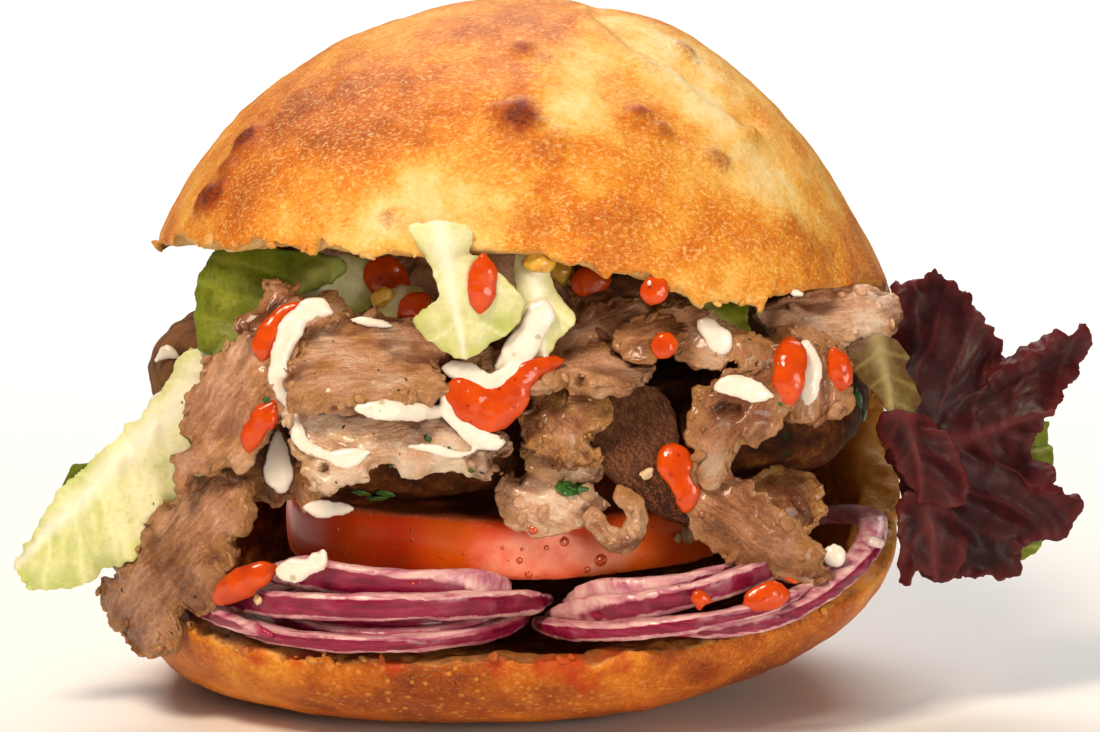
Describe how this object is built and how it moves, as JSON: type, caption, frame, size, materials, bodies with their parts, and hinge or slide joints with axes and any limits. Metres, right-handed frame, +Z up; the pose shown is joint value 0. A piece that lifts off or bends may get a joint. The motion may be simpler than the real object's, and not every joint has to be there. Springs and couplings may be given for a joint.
{
  "type": "doner kebab sandwich",
  "caption": "Slit flatbread pocket, hinged at its back, filled with doner meat slices, grilled patties, a tomato slice, red onion rings and lettuce leaves.",
  "frame": {"origin": "middle of the bounding box's bottom, on the surface the bread rests on", "axes": "+X to the right of the open mouth's view, -Y out of the open mouth, +Z up"},
  "size_m": [0.198, 0.1224, 0.1284],
  "materials": {
    "bread": "baked flatbread crust, golden brown with darker blisters, soft cream crumb inside",
    "tomato": "glossy wet tomato skin and flesh",
    "onion": "raw red onion, magenta skin side with pinkish white cut faces",
    "meat": "roast doner meat, pinkish brown with browned edges and a little fat shine",
    "dark_meat": "dark browned grilled meat with flecks of herbs",
    "iceberg": "pale yellow-green crisp lettuce, slightly see-through",
    "green_leaf": "fresh dark green lettuce",
    "red_leaf": "dark red ruffled lettuce with paler ribs"
  },
  "bodies": {
    "root": {"pocket_bread": "bread", "tomato_slice": "tomato", "red_lettuce_leaf": "red_leaf", "romaine_leaf_left": "green_leaf", "green_leaf_tip": "green_leaf", "green_leaf_right": "green_leaf", "green_leaf_behind": "green_leaf", "green_leaf_under": "green_leaf", "iceberg_centre": "iceberg", "iceberg_beside": "iceberg", "iceberg_inner_left": "iceberg", "iceberg_inner_centre": "iceberg", "red_lettuce_curl": "red_leaf", "red_lettuce_lobe": "red_leaf", "red_lettuce_low": "red_leaf", "iceberg_leaf_left": "iceberg", "doner_slice_front_top": "meat", "doner_slice_front_low": "meat", "doner_slice_left": "meat", "doner_slice_low_left": "meat", "doner_slice_back_left": "meat", "doner_slice_centre": "meat", "doner_slice_centre_right": "meat", "doner_slice_centre_back": "meat", "doner_slice_upper_right": "meat", "doner_slice_fold": "meat", "doner_slice_right": "meat", "doner_slice_right_top": "meat", "doner_slice_far_right": "meat", "doner_chunk_browned": "meat", "doner_chunk_pale": "meat", "doner_chunk_low": "meat", "doner_slice_low_right": "meat", "doner_chunk_crisp": "meat", "doner_slice_inner_left": "meat", "doner_curl_front": "meat", "onion_ring_1": "onion", "onion_ring_2": "onion", "onion_ring_3": "onion", "onion_ring_4": "onion", "onion_ring_5": "onion", "onion_ring_6": "onion", "onion_ring_7": "onion", "onion_ring_8": "onion", "onion_ring_9": "onion", "onion_ring_10": "onion", "beef_slice_dark": "dark_meat", "meat_patty_left": "dark_meat", "meat_patty_right": "dark_meat", "meat_patty_far_left": "dark_meat", "doner_heap": "meat"}
  },
  "joints": []
}
